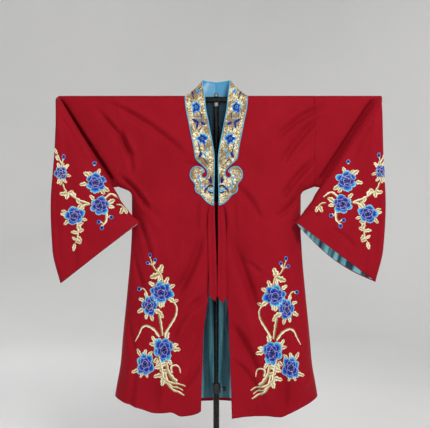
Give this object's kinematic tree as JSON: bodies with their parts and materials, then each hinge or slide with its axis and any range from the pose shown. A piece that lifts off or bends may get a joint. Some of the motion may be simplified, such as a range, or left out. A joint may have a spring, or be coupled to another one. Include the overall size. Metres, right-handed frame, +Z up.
{
  "type": "chinese opera robe on a telescopic T stand",
  "caption": "Open-fronted opera robe with wide drooping sleeves, cloud-ended collar and ties, hung on a telescopic T stand with a round floor disc.",
  "frame": {"origin": "on the floor, under the middle of the pole", "axes": "+Z up along the pole, +X to the viewer's right along the bar, -Y out of the robe's open front"},
  "size_m": [1.2096, 0.38, 1.5159],
  "materials": {
    "red_satin": "matt-sheen satin weave",
    "turquoise_satin": "glossy satin lining",
    "gold_brocade": "metallic thread brocade",
    "black_enamel": "satin black enamel",
    "black_plastic": "moulded, matt",
    "plated_steel": "bright plated"
  },
  "bodies": {
    "stand": {"stand_base": "black_enamel", "stand_hub": "black_enamel", "stand_lower_tube": "black_enamel", "stand_clamp": "black_enamel"},
    "robe": {"front_left": "red_satin", "front_right": "red_satin", "back": "red_satin", "sleeve_left": "red_satin", "sleeve_right": "red_satin", "tie_left": "red_satin", "tie_right": "red_satin", "back_lining": "turquoise_satin", "cuff_lining_left": "turquoise_satin", "cuff_lining_right": "turquoise_satin", "collar_piping": "turquoise_satin", "collar": "gold_brocade", "stand_upper_tube": "black_enamel", "stand_bar": "black_enamel", "bar_cap_left": "black_enamel", "bar_cap_right": "black_enamel", "pole_ferrule": "plated_steel", "bar_nut": "plated_steel"},
    "knob": {"clamp_knob": "black_plastic", "clamp_screw": "plated_steel"}
  },
  "joints": [
    {"name": "pole_slide", "type": "slide", "parent": "stand", "child": "robe", "axis": [0, 0, 1], "range_m": [-0.18, 0.12]},
    {"name": "knob_turn", "type": "hinge", "parent": "stand", "child": "knob", "pos_m": [0.02, 0, 0.3928], "axis": [1, 0, 0], "range_deg": [-180, 180]}
  ]
}
